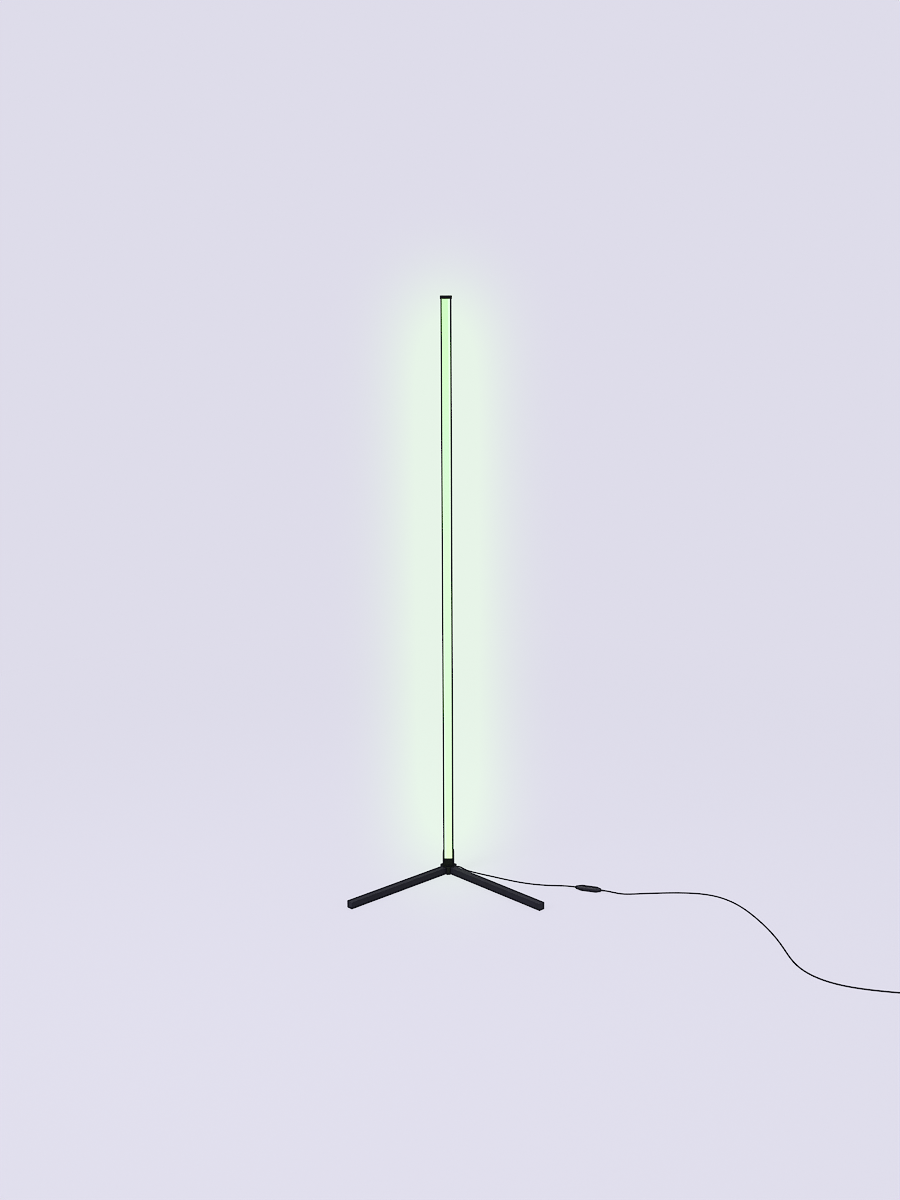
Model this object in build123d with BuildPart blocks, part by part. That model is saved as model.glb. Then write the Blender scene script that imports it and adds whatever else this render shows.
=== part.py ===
from build123d import *
from math import cos, pi, radians, sin, tan
import os

# Corner floor lamp: a lit channel on a V of two legs, with a USB lead and an in-line controller.
# Millimetres, +Z up, -Y to the room. The origin is on the floor, under the middle of the pole.

# ---- Pole: an aluminium extrusion in sections, open to the front, with a second chamber behind ----
section_count = 4
section_length = 347.0
pole_width = 25.4
pole_depth = 16.0
pole_corner = 1.0
side_wall = 1.6
back_wall = 1.6
lip_width = 3.3             # how far each front lip covers the slot, measured from the outside
lip_thickness = 1.4
rear_chamber_depth = 4.4
web_thickness = 1.4

# ---- Screws: countersunk, one size all over ----
shank_radius = 1.95
tapped_radius = 2.0
clearance_radius = 2.15
head_radius = 3.4
head_clearance = 0.1
head_angle = 82.0
hex_radius = 1.4
hex_depth = 1.0
end_screw_near = 10.0       # height of the two screws from the end of a section
end_screw_far = 24.0
splice_screw_length = 5.5
foot_screw_length = 7.2
leg_screw_length = 14.5

# ---- Splice bars in the rear chamber ----
bar_clearance = 0.1
bar_thickness = 4.2
splice_length = 60.0
bar_end_margin = 6.0
bar_chamfer = 0.6

# ---- Light: strip, packages, diffuser ----
strip_width = 12.0
strip_thickness = 0.3
strip_end_gap = 3.0
led_size = 5.0
led_height = 1.6
led_pitch = 16.6
led_first = 12.0            # height of the first package over the lower end of the strip
diffuser_clearance = 0.1
diffuser_crown = 0.5
diffuser_flange = 1.4
lead_radius = 0.55
lead_pitch = 2.0
bundle_pitch = 1.21         # between the three leads where they run side by side
lead_solder_length = 5.0
lead_bend = 2.0

# ---- Top cap ----
cap_height = 8.0
cap_overhang = 1.0
cap_corner = 1.8
cap_edge = 1.2

# ---- Hub: a square casting turned corner forward, with a collar that takes the pole ----
pad_thickness = 1.2
pad_inset = 1.5
plate_thickness = 2.0
plate_margin = 1.2
plate_clearance = 0.15
hub_side = 34.0
hub_corner_cut = 5.15
hub_height = 19.8
hub_edge = 0.8
hub_wall = 4.0
hub_roof = 4.0
hub_partition = 3.0
socket_rise = 3.0
pole_fit = 0.15
collar_wall = 1.5
collar_corner = 1.6
collar_height = 34.5
flare_height = 6.5
flare_lip = 0.5
front_wall_height = 16.2
front_recess = 0.5
window_margin = 0.4
wire_hole_radius = 3.3

# ---- Legs: solid square bars, one along each front face of the hub ----
right_leg_heading = -45.0
leg_reach = 321.8
leg_width = 17.0
leg_height = 18.0
leg_edge = 0.9
tongue_start = 7.5
tongue_width = 10.0
tongue_height = 8.0
tongue_fit = 0.15
leg_screw_reach = 11.5
leg_pad_length = 26.0
leg_pad_width = 12.0
leg_pad_margin = 8.0
leg_pad_spacing = 130.0

# ---- Cord and its strain relief at the hub ----
cord_radius = 1.7
exit_height = 7.2
relief_neck = 3.1
relief_neck_fit = 0.1
relief_flange = 3.9
relief_flange_thickness = 2.0
relief_base = 3.9
relief_tip = 2.3
relief_length = 4.5
relief_rib_count = 3
groove_depth = 0.4          # of the ring grooves between the ribs of every strain relief
sleeve_radius = 2.2
sleeve_length = 7.5
sleeve_overlap = 2.0

# ---- Controller in the cord ----
controller_x = 345.0
controller_y = -110.0
controller_heading = -17.4
controller_width = 16.0
controller_height = 11.6
controller_corner = 3.2
controller_back = -32.0     # ends of the housing along the cord, and where its full section starts and stops
controller_full_back = -18.0
controller_full_front = 19.0
controller_front = 30.0
parting_groove = 0.3        # width and depth of the groove where cover and base meet
end_width = 8.4
end_height = 7.0
end_corner = 2.4
case_wall = 1.5
case_side_wall = 1.5
board_margin = 0.6
board_thickness = 1.0
board_rise = 0.9
rib_width = 1.4
rib_spacing = 26.0
chip_size = 5.0
chip_height = 1.2
switch_size = 6.0
switch_height = 3.1
switch_hole_radius = 1.5
switch_hole_depth = 1.1
button_pitch = 11.5
button_length = 8.0
button_width = 6.0
button_corner = 2.4
button_gap = 0.25
button_proud = 0.8
button_flange = 0.8
button_flange_thickness = 0.8
button_rest_gap = 0.1
stem_radius = 1.2
stem_entry = 0.3
case_relief_radius = 2.5
case_relief_tip = 2.15
case_relief_fit = 0.05
case_relief_back = 3.0      # how far the two strain reliefs stand out of the housing
case_relief_front = 6.5
back_rib_count = 2
front_rib_count = 4
case_lead_length = 4.5

# ---- Put-away coil and USB plug ----
coil_radius = 19.0
coil_width = 10.2
coil_height = 7.0
coil_corner = 1.6
coil_x = 989.4
coil_y = -652.8
plug_heading = -90.0
plug_x = 1011.9
plug_y = -693.0
plug_relief_length = 9.0
plug_body_length = 22.0
plug_body_width = 15.6
plug_body_height = 7.6
plug_body_corner = 2.2
plug_rib_count = 5
grip_count = 5
grip_pitch = 2.4
grip_width = 0.8
grip_depth = 0.4
grip_length = 9.0
shell_width = 12.0
shell_height = 4.5
shell_wall = 0.3
shell_length = 12.2
shell_seat = 4.0
window_width = 2.5
window_length = 2.0
window_spacing = 5.6
window_setback = 5.2        # from the mouth of the shell to the middle of its latch windows
insulator_thickness = 1.9
insulator_setback = 0.6
contact_width = 1.1
contact_thickness = 0.2
contact_pitch = 2.2
contact_length = 8.0
plug_tip_radius = 2.3
plug_root_radius = 3.4

# ---- Cord routes: points chosen by hand, on the floor except where the cord climbs to a fitting ----
lamp_route = [
    (15.203, 15.203, 7.2), (19.5, 19.5, 7.2), (25.6, 21.3, 6.4), (31.9, 19.7, 4.8), (37.5, 14.9, 3.1),
    (46.3, 6.8, 2.1), (60.9, -2.2, 1.75), (79.7, -13.5, 1.75), (104.5, -26.6, 1.75), (137.0, -44.6, 1.75),
    (172.0, -62.7, 1.75), (207.0, -75.4, 1.75), (240.0, -81.8, 1.75), (265.5, -84.4, 2.2),
    (286.0, -90.2, 4.3), (301.106, -96.244, 5.8), (311.602, -99.533, 5.8),
]
supply_route = [
    (379.830, -120.915, 5.8), (388.895, -123.756, 5.8), (400.9, -127.0, 4.5), (415.0, -130.2, 2.8),
    (431.5, -131.9, 1.8), (452.0, -130.4, 1.75), (479.0, -126.7, 1.75), (513.0, -123.6, 1.75),
    (552.0, -120.8, 1.75), (593.0, -122.0, 1.75), (627.0, -129.0, 1.75), (655.4, -143.8, 1.75),
    (681.0, -169.8, 1.75), (702.4, -206.0, 1.75), (720.8, -253.4, 1.75), (736.8, -307.0, 1.75),
    (748.8, -360.6, 1.75), (756.0, -412.2, 1.75), (760.4, -458.6, 1.75), (767.4, -500.8, 1.75),
    (782.8, -538.8, 1.75), (808.2, -570.8, 1.75), (843.0, -595.0, 1.75), (884.0, -610.5, 1.75),
    (928.0, -620.6, 1.75), (962.0, -626.4, 1.75), (992.2, -630.6, 1.75),
]
tail_route = [
    (1011.8, -652.8, 5.1), (1011.8, -662.5, 4.9), (1012.0, -672.8, 4.3), (1011.9, -682.9, 3.8),
    (1011.9, -693.0, 3.8),
]

# ---- Levels and places worked out from the sizes ----
plate_bottom = pad_thickness
plate_top = plate_bottom + plate_thickness
hub_half = hub_side / 2
hub_top = pad_thickness + hub_height
pole_foot = hub_top + socket_rise
pole_top = pole_foot + section_count * section_length
diffuser_foot = pole_foot + front_wall_height
collar_top = pole_foot + collar_height
collar_width = pole_width + 2 * (pole_fit + collar_wall)
collar_depth = pole_depth + 2 * (pole_fit + collar_wall)

front_y = -pole_depth / 2
back_y = pole_depth / 2
slot_width = pole_width - 2 * lip_width
chamber_width = pole_width - 2 * side_wall
rear_chamber_back = back_y - back_wall
rear_chamber_front = rear_chamber_back - rear_chamber_depth
web_front = rear_chamber_front - web_thickness
lip_back = front_y + lip_thickness
bar_width = chamber_width - 2 * bar_clearance
bar_middle = rear_chamber_back - bar_thickness / 2

strip_foot = diffuser_foot + strip_end_gap
strip_length = pole_top - strip_end_gap - strip_foot
strip_front = web_front - strip_thickness
led_count = int((strip_length - led_first - led_size) / led_pitch) + 1

head_height = (head_radius - shank_radius) / tan(radians(head_angle / 2))
end_screws = (end_screw_near, end_screw_far)
joints = [pole_foot + number * section_length for number in range(1, section_count)]

leg_headings = {"leg_right": right_leg_heading, "leg_left": right_leg_heading - 90}
cord_heading = right_leg_heading + 90
cavity_low = hub_half - hub_wall
cavity_high = tongue_start - hub_partition
relief_face = hub_half

case_middle = controller_height / 2
case_ceiling = controller_height - case_wall
board_bottom = case_wall + board_rise
board_top = board_bottom + board_thickness
switch_top = board_top + switch_height
button_middle = (controller_full_back + controller_full_front) / 2
cavity_length = controller_full_front - controller_full_back + 2
cavity_width = controller_width - 2 * case_side_wall
board_length = cavity_length - 2 * board_margin
board_width = cavity_width - 2 * board_margin
flange_top = case_ceiling - button_rest_gap
flange_bottom = flange_top - button_flange_thickness
plug_middle = plug_body_height / 2

os.makedirs("parts", exist_ok=True)


def level_plane(heading, height=0.0, x=0.0, y=0.0):
    """Level plane with its X along a compass heading, in degrees from +X."""
    x_dir = (cos(radians(heading)), sin(radians(heading)), 0)
    return Plane(origin=(x, y, height), x_dir=x_dir, z_dir=(0, 0, 1))


def across(plane, distance, height):
    """Upright plane square to a level plane's X, with its own X to the side and its Y up."""
    return Plane(origin=plane.from_local_coords((distance, 0, height)), x_dir=plane.y_dir, z_dir=plane.x_dir)


def turning(plane, height):
    """Upright plane along a level plane's X: its own X is up, its Y runs along, for profiles to be turned."""
    return Plane(origin=plane.from_local_coords((0, 0, height)), x_dir=(0, 0, 1), z_dir=plane.y_dir)


def turned(plane, profile):
    """Solid of a profile of radius and distance pairs, turned about the Y axis of its plane."""
    with BuildPart() as piece:
        with BuildSketch(plane):
            with BuildLine():
                Polyline(*profile, close=True)
            make_face()
        revolve(axis=Axis(plane.origin, plane.y_dir))
    return piece.part


def ribs(start, end, base, tip, count):
    """Profile of a tapering sleeve: ribs with ring grooves between them, as radius and distance pairs."""
    step = (end - start) / (2 * count - 1)
    corners = []
    for number in range(count):
        near = start + 2 * number * step
        far = near + step
        near_radius = base + (tip - base) * (near - start) / (end - start)
        far_radius = base + (tip - base) * (far - start) / (end - start)
        if number > 0:
            corners.append((near_radius - groove_depth, near))
        corners += [(near_radius, near), (far_radius, far)]
        if number < count - 1:
            corners.append((far_radius - groove_depth, far))
    return corners


def back_plane(height, y):
    """Upright plane facing the back, for screws through a back wall."""
    return Plane(origin=(0, y, height), x_dir=(1, 0, 0), z_dir=(0, 1, 0))


def countersunk_screw(length):
    """Screw with a hex socket: its head lies flush in the ground plane and its shank points down."""
    with BuildPart() as screw:
        with BuildSketch(Plane.XZ):
            with BuildLine():
                Polyline(
                    (0, 0), (head_radius, 0), (shank_radius, -head_height), (shank_radius, -length),
                    (0, -length), close=True,
                )
            make_face()
        revolve(axis=Axis.Z)
        with BuildSketch(Plane.XY):
            RegularPolygon(radius=hex_radius, side_count=6)
        extrude(amount=-hex_depth, mode=Mode.SUBTRACT)
    return screw.part


def flush_hole(depth):
    """Clearance hole with a countersink for one of the screws."""
    sink_radius = head_radius + head_clearance
    CounterSinkHole(clearance_radius, sink_radius, depth=depth, counter_sink_angle=head_angle)


def hub_outline(inset):
    """The hub's square with its corners cut off, smaller all round by an inset."""
    with BuildSketch() as outline:
        Rectangle(hub_side, hub_side)
        chamfer(outline.vertices(), hub_corner_cut)
        if inset > 0:
            offset(amount=-inset, kind=Kind.INTERSECTION)
    return outline.sketch


def bend_radii(points):
    """Radius at each corner of a route: 0.45 of its shorter run, over the tangent of half the turn."""
    places = [Vector(*point) for point in points]
    radii = []
    for before, corner, after in zip(places, places[1:], places[2:]):
        turn = radians((corner - before).get_angle(after - corner))
        shorter = min((corner - before).length, (after - corner).length)
        radii.append(0.45 * shorter / tan(turn / 2))
    return radii


def cord_tube(name, points):
    """Round cord along straight runs joined by tangent arcs."""
    radii = bend_radii(points)
    with BuildPart() as tube:
        with BuildLine():
            route = FilletPolyline(*points, radius=radii)
        with BuildSketch(Plane(origin=route @ 0, z_dir=route % 0)):
            Circle(cord_radius)
        sweep()
    expected = pi * cord_radius**2 * route.length
    print(f"{name}: length {route.length:.1f}, volume {tube.part.volume / expected:.4f} of section times length")
    print(f"  radii {' '.join(f'{radius:.0f}' for radius in radii)}")
    return tube.part


def save(part, name):
    part.label = name
    export_step(part, f"parts/{name}.step")


# ---- Pole sections ----
for number in range(1, section_count + 1):
    foot = pole_foot + (number - 1) * section_length
    top = foot + section_length
    lower_screws = [foot + rise for rise in end_screws]
    upper_screws = [top - rise for rise in end_screws]
    with BuildPart() as channel:
        with BuildSketch(Plane.XY.offset(foot)):
            RectangleRounded(pole_width, pole_depth, pole_corner)
            with Locations((0, (lip_back + web_front) / 2)):
                Rectangle(chamber_width, web_front - lip_back, mode=Mode.SUBTRACT)
            with Locations((0, (front_y + lip_back) / 2)):
                Rectangle(slot_width, lip_thickness, mode=Mode.SUBTRACT)
            with Locations((0, (rear_chamber_front + rear_chamber_back) / 2)):
                Rectangle(chamber_width, rear_chamber_depth, mode=Mode.SUBTRACT)
        extrude(amount=section_length)
        if number == 1:
            with Locations(*[back_plane(height, back_y) for height in lower_screws]):
                Hole(clearance_radius, depth=back_wall)
            flush_screws = upper_screws
        else:
            flush_screws = lower_screws + upper_screws
        with Locations(*[back_plane(height, back_y) for height in flush_screws]):
            flush_hole(back_wall)
    save(channel.part, f"channel_{number}")

# ---- Splice bars inside the joints, and the foot bar ----
for number, joint in enumerate(joints, start=1):
    with BuildPart() as splice_bar:
        with BuildSketch(Plane.XY.offset(joint - splice_length / 2)):
            with Locations((0, bar_middle)):
                Rectangle(bar_width, bar_thickness)
        extrude(amount=splice_length)
        chamfer(splice_bar.edges().filter_by(Axis.X), bar_chamfer)
        with Locations(*[back_plane(joint + side * rise, back_y) for rise in end_screws for side in (-1, 1)]):
            Hole(tapped_radius)
    save(splice_bar.part, f"splice_bar_{number}")

with BuildPart() as foot_bar:
    with BuildSketch(Plane.XY.offset(pole_foot)):
        with Locations((0, bar_middle)):
            Rectangle(bar_width, bar_thickness)
    extrude(amount=end_screw_far + bar_end_margin)
    chamfer(foot_bar.edges().filter_by(Axis.X), bar_chamfer)
    with Locations(*[back_plane(pole_foot + rise, back_y) for rise in end_screws]):
        Hole(tapped_radius)
save(foot_bar.part, "foot_bar")

# ---- Screws through the back of the pole ----
splice_screw = countersunk_screw(splice_screw_length)
foot_screw = countersunk_screw(foot_screw_length)
leg_screw = countersunk_screw(leg_screw_length)

with BuildPart() as splice_screws:
    with Locations(*[back_plane(z + s * rise, back_y) for z in joints for rise in end_screws for s in (-1, 1)]):
        add(splice_screw)
save(splice_screws.part, "splice_screws")

with BuildPart() as cap_screws:
    with Locations(*[back_plane(pole_top - rise, back_y) for rise in end_screws]):
        add(splice_screw)
save(cap_screws.part, "cap_screws")

with BuildPart() as foot_screws:
    with Locations(*[back_plane(pole_foot + rise, collar_depth / 2) for rise in end_screws]):
        add(foot_screw)
save(foot_screws.part, "foot_screws")

# ---- Top cap, with a tongue down the rear chamber ----
with BuildPart() as top_cap:
    with BuildSketch(Plane.XY.offset(pole_top)):
        RectangleRounded(pole_width + 2 * cap_overhang, pole_depth + 2 * cap_overhang, cap_corner)
    extrude(amount=cap_height)
    fillet(top_cap.edges().group_by(Axis.Z)[-1], cap_edge)
    with BuildSketch(Plane.XY.offset(pole_top)):
        with Locations((0, bar_middle)):
            Rectangle(bar_width, bar_thickness)
    extrude(amount=-(end_screw_far + bar_end_margin))
    with Locations(*[back_plane(pole_top - rise, rear_chamber_back) for rise in end_screws]):
        Hole(tapped_radius, depth=bar_thickness)
save(top_cap.part, "top_cap")

# ---- Diffuser: a crowned strip with a flange behind each lip ----
crown_half = slot_width / 2 - diffuser_clearance
flange_half = chamber_width / 2 - diffuser_clearance
flange_back = lip_back + diffuser_flange
with BuildPart() as diffuser:
    with BuildSketch(Plane.XY.offset(diffuser_foot)):
        with BuildLine():
            ThreePointArc((-crown_half, front_y), (0, front_y - diffuser_crown), (crown_half, front_y))
            Polyline(
                (crown_half, front_y), (crown_half, lip_back), (flange_half, lip_back),
                (flange_half, flange_back), (-flange_half, flange_back), (-flange_half, lip_back),
                (-crown_half, lip_back), (-crown_half, front_y),
            )
        make_face()
    extrude(amount=pole_top - diffuser_foot)
save(diffuser.part, "diffuser")

# ---- LED strip on the web, its packages and its leads ----
with BuildPart() as led_strip:
    with BuildSketch(Plane.XY.offset(strip_foot)):
        with Locations((0, web_front - strip_thickness / 2)):
            Rectangle(strip_width, strip_thickness)
    extrude(amount=strip_length)
save(led_strip.part, "led_strip")

with BuildPart() as led_packages:
    with BuildSketch(Plane(origin=(0, strip_front, strip_foot + led_first), x_dir=(1, 0, 0), z_dir=(0, -1, 0))):
        with Locations(*[(0, number * led_pitch) for number in range(led_count)]):
            Rectangle(led_size, led_size)
    extrude(amount=led_height, taper=8)
save(led_packages.part, "led_packages")

hub_plane = level_plane(right_leg_heading)
cord_plane = level_plane(cord_heading)
sleeve_back = cavity_low - relief_flange_thickness
sleeve_front = sleeve_back - sleeve_length
lead_y = strip_front - lead_radius
with BuildPart() as strip_leads:
    for place in (-1, 0, 1):
        aside = -place * bundle_pitch
        joint_end = cord_plane.from_local_coords((sleeve_front + sleeve_overlap, aside, exit_height))
        with BuildLine():
            route = FilletPolyline(
                (place * lead_pitch, lead_y, strip_foot + lead_solder_length),
                (place * lead_pitch, lead_y, exit_height),
                joint_end,
                radius=lead_bend,
            )
        with BuildSketch(Plane(origin=route @ 0, z_dir=route % 0)):
            Circle(lead_radius)
        sweep()
save(strip_leads.part, "strip_leads")

# ---- Hub casting ----
with BuildPart() as base_hub:
    with BuildSketch(level_plane(right_leg_heading, pad_thickness)):
        add(hub_outline(0))
    extrude(amount=hub_height)
    fillet(base_hub.edges().group_by(Axis.Z)[-1], hub_edge)
    # Collar, straight and then flared in towards the pole
    with BuildSketch(Plane.XY.offset(hub_top - hub_edge)):
        RectangleRounded(collar_width, collar_depth, collar_corner)
    extrude(amount=collar_top - flare_height - hub_top + hub_edge)
    with BuildSketch(Plane.XY.offset(collar_top - flare_height)):
        RectangleRounded(collar_width, collar_depth, collar_corner)
    with BuildSketch(Plane.XY.offset(collar_top)):
        lip = 2 * (pole_fit + flare_lip)
        RectangleRounded(pole_width + lip, pole_depth + lip, collar_corner)
    loft()
    # Socket for the pole, front window and the shallow recess below it
    with BuildSketch(Plane.XY.offset(pole_foot)):
        RectangleRounded(pole_width + 2 * pole_fit, pole_depth + 2 * pole_fit, pole_corner)
    extrude(amount=collar_height, mode=Mode.SUBTRACT)
    with BuildSketch(Plane.XY.offset(diffuser_foot)):
        with Locations((0, -collar_depth / 2)):
            Rectangle(slot_width + 2 * window_margin, 2 * (collar_wall + pole_fit))
    extrude(amount=collar_height, mode=Mode.SUBTRACT)
    with BuildSketch(Plane.XY.offset(hub_top)):
        with Locations((0, -collar_depth / 2)):
            Rectangle(slot_width + 2 * window_margin, 2 * front_recess)
    extrude(amount=diffuser_foot - hub_top, mode=Mode.SUBTRACT)
    with Locations(*[back_plane(pole_foot + rise, collar_depth / 2) for rise in end_screws]):
        flush_hole(collar_wall + pole_fit)
    # Recess for the base plate, cavity for the wires and the hole up to the pole
    with BuildSketch(level_plane(right_leg_heading, plate_bottom)):
        add(hub_outline(plate_margin))
    extrude(amount=plate_thickness, mode=Mode.SUBTRACT)
    with BuildSketch(level_plane(right_leg_heading, plate_top)):
        with Locations(((cavity_high - cavity_low) / 2, (cavity_low - cavity_high) / 2)):
            Rectangle(cavity_low + cavity_high, cavity_low + cavity_high)
    extrude(amount=hub_top - hub_roof - plate_top, mode=Mode.SUBTRACT)
    with BuildSketch(Plane.XY.offset(plate_top)):
        with Locations((0, lead_y)):
            Circle(wire_hole_radius)
    extrude(amount=pole_foot - plate_top, mode=Mode.SUBTRACT)
    # Pockets and tapped holes for the legs
    for heading in leg_headings.values():
        with BuildSketch(level_plane(heading, plate_top)):
            with Locations(((tongue_start - tongue_fit + hub_half) / 2, 0)):
                Rectangle(hub_half - tongue_start + tongue_fit, tongue_width + 2 * tongue_fit)
        extrude(amount=tongue_height + tongue_fit, mode=Mode.SUBTRACT)
        with BuildSketch(level_plane(heading, plate_top)):
            with Locations((leg_screw_reach, 0)):
                Circle(tapped_radius)
        extrude(amount=leg_screw_length, mode=Mode.SUBTRACT)
    # Hole for the strain relief, through the back right wall
    with BuildSketch(across(cord_plane, cavity_low - 1, exit_height)):
        Circle(relief_neck + relief_neck_fit)
    extrude(amount=hub_wall + 2, mode=Mode.SUBTRACT)
save(base_hub.part, "base_hub")

# ---- Base plate, hub pad and leg screws ----
leg_screw_planes = [
    Plane(level_plane(heading, plate_bottom).from_local_coords((leg_screw_reach, 0, 0)), z_dir=(0, 0, -1))
    for heading in leg_headings.values()
]
with BuildPart() as base_plate:
    with BuildSketch(level_plane(right_leg_heading, plate_bottom)):
        add(hub_outline(plate_margin + plate_clearance))
    extrude(amount=plate_thickness)
    with Locations(*leg_screw_planes):
        flush_hole(plate_thickness)
save(base_plate.part, "base_plate")

with BuildPart() as hub_pad:
    with BuildSketch(hub_plane):
        add(hub_outline(plate_margin + pad_inset))
    extrude(amount=pad_thickness)
save(hub_pad.part, "hub_pad")

with BuildPart() as leg_screws:
    with Locations(*leg_screw_planes):
        add(leg_screw)
save(leg_screws.part, "leg_screws")

# ---- Legs and their pads ----
for name, heading in leg_headings.items():
    leg_axis = Axis((0, 0, 0), level_plane(heading).x_dir)
    with BuildPart() as leg:
        with BuildSketch(level_plane(heading, pad_thickness)):
            with Locations(((hub_half + leg_reach) / 2, 0)):
                Rectangle(leg_reach - hub_half, leg_width)
        extrude(amount=leg_height)
        inner_edges = leg.faces().sort_by(leg_axis)[0].edges()
        fillet(leg.edges() - inner_edges, leg_edge)
        with BuildSketch(level_plane(heading, plate_top)):
            with Locations(((tongue_start + hub_half) / 2, 0)):
                Rectangle(hub_half - tongue_start, tongue_width)
        extrude(amount=tongue_height)
        with BuildSketch(level_plane(heading, plate_top)):
            with Locations((leg_screw_reach, 0)):
                Circle(clearance_radius)
        extrude(amount=tongue_height, mode=Mode.SUBTRACT)
    save(leg.part, name)

with BuildPart() as leg_pads:
    for heading in leg_headings.values():
        outer_pad = leg_reach - leg_pad_margin - leg_pad_length / 2
        with BuildSketch(level_plane(heading)):
            with Locations((outer_pad, 0), (outer_pad - leg_pad_spacing, 0)):
                RectangleRounded(leg_pad_length, leg_pad_width, leg_pad_width / 4)
        extrude(amount=pad_thickness)
save(leg_pads.part, "leg_pads")

# ---- Strain relief at the hub and the sleeve over the wire joint ----
strain_relief = turned(turning(cord_plane, exit_height), [
    (0, sleeve_back), (relief_flange, sleeve_back), (relief_flange, cavity_low), (relief_neck, cavity_low),
    (relief_neck, relief_face),
    *ribs(relief_face, relief_face + relief_length, relief_base, relief_tip, relief_rib_count),
    (0, relief_face + relief_length),
])
save(strain_relief, "strain_relief")

joint_sleeve = turned(turning(cord_plane, exit_height), [
    (0, sleeve_front), (sleeve_radius, sleeve_front), (sleeve_radius, sleeve_back), (0, sleeve_back),
])
save(joint_sleeve, "joint_sleeve")

# ---- Controller housing ----
controller_plane = level_plane(controller_heading, 0, controller_x, controller_y)
case_plane = turning(controller_plane, case_middle)
relief_inner_back = controller_full_back - 1
relief_inner_front = controller_full_front + 1


def controller_block(inset):
    """The whole housing with tapered ends, board space and bores for its strain reliefs, less an inset."""
    with BuildPart() as block:
        for distance, width, height, corner in (
            (controller_back, end_width, end_height, end_corner),
            (controller_full_back, controller_width, controller_height, controller_corner),
            (controller_full_front, controller_width, controller_height, controller_corner),
            (controller_front, end_width, end_height, end_corner),
        ):
            with BuildSketch(across(controller_plane, distance, case_middle)):
                RectangleRounded(width - 2 * inset, height - 2 * inset, corner - inset)
        loft(ruled=True)
        with BuildSketch(controller_plane.offset(case_wall)):
            with Locations((button_middle, 0)):
                Rectangle(cavity_length, cavity_width)
        extrude(amount=case_ceiling - case_wall, mode=Mode.SUBTRACT)
        with BuildSketch(across(controller_plane, controller_back, case_middle)):
            Circle(case_relief_radius + case_relief_fit)
        extrude(amount=controller_front - controller_back, mode=Mode.SUBTRACT)
    return block.part


housing = controller_block(0)
parting_bottom = case_middle - parting_groove

with BuildPart() as groove_floor:
    add(controller_block(parting_groove))
    split(bisect_by=Plane.XY.offset(case_middle), keep=Keep.BOTTOM)
    split(bisect_by=Plane.XY.offset(parting_bottom), keep=Keep.TOP)

with BuildPart() as controller_base:
    add(housing)
    split(bisect_by=Plane.XY.offset(parting_bottom), keep=Keep.BOTTOM)
    add(groove_floor)
    with BuildSketch(controller_plane.offset(case_wall)):
        with Locations((button_middle - rib_spacing / 2, 0), (button_middle + rib_spacing / 2, 0)):
            Rectangle(rib_width, cavity_width)
    extrude(amount=board_rise)
save(controller_base.part, "controller_base")

with BuildPart() as controller_cover:
    add(housing)
    split(bisect_by=Plane.XY.offset(case_middle), keep=Keep.TOP)
    with BuildSketch(controller_plane.offset(case_ceiling)):
        with Locations(*[(button_middle + place * button_pitch, 0) for place in (-1, 0, 1)]):
            RectangleRounded(
                button_length + 2 * button_gap, button_width + 2 * button_gap, button_corner + button_gap
            )
    extrude(amount=case_wall, mode=Mode.SUBTRACT)
save(controller_cover.part, "controller_cover")

# ---- Controller board ----
with BuildPart() as controller_board:
    with BuildSketch(controller_plane.offset(board_bottom)):
        with Locations((button_middle, 0)):
            Rectangle(board_length, board_width)
    extrude(amount=board_thickness)
save(controller_board.part, "controller_board")

with BuildPart() as controller_chip:
    with BuildSketch(controller_plane.offset(board_bottom)):
        with Locations((button_middle + button_pitch / 2, 0)):
            Rectangle(chip_size, chip_size)
    extrude(amount=-min(chip_height, board_rise))
save(controller_chip.part, "controller_chip")

with BuildPart() as push_switches:
    with BuildSketch(controller_plane.offset(board_top)):
        with Locations(*[(button_middle + place * button_pitch, 0) for place in (-1, 0, 1)]):
            Rectangle(switch_size, switch_size)
    extrude(amount=switch_height)
    with BuildSketch(controller_plane.offset(switch_top)):
        with Locations(*[(button_middle + place * button_pitch, 0) for place in (-1, 0, 1)]):
            Circle(switch_hole_radius)
    extrude(amount=-switch_hole_depth, mode=Mode.SUBTRACT)
save(push_switches.part, "push_switches")

# ---- Buttons: a cap in the cover, a flange under it and a stem into the switch ----
for place, name in ((-1, "button_power"), (0, "button_colour"), (1, "button_brightness")):
    centre = (button_middle + place * button_pitch, 0)
    with BuildPart() as button:
        with BuildSketch(controller_plane.offset(flange_bottom)):
            with Locations(centre):
                Rectangle(button_length + 2 * button_flange, button_width + 2 * button_flange)
        extrude(amount=button_flange_thickness)
        with BuildSketch(controller_plane.offset(flange_top)):
            with Locations(centre):
                RectangleRounded(button_length, button_width, button_corner)
        extrude(amount=controller_height + button_proud - flange_top)
        fillet(button.edges().group_by(Axis.Z)[-1], button_proud / 2)
        with BuildSketch(controller_plane.offset(flange_bottom)):
            with Locations(centre):
                Circle(stem_radius)
        extrude(amount=-(flange_bottom - switch_top + stem_entry))
    save(button.part, name)

# ---- Strain reliefs of the controller, and the leads from them to the board ----
tip_back = controller_back - case_relief_back
relief_back = turned(case_plane, [
    (0, tip_back), *ribs(tip_back, controller_back, case_relief_tip, case_relief_radius, back_rib_count),
    (case_relief_radius, relief_inner_back), (0, relief_inner_back),
])
save(relief_back, "controller_relief_in")

tip_front = controller_front + case_relief_front
relief_front = turned(case_plane, [
    (0, relief_inner_front), (case_relief_radius, relief_inner_front),
    *ribs(controller_front, tip_front, case_relief_radius, case_relief_tip, front_rib_count), (0, tip_front),
])
save(relief_front, "controller_relief_out")

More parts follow.
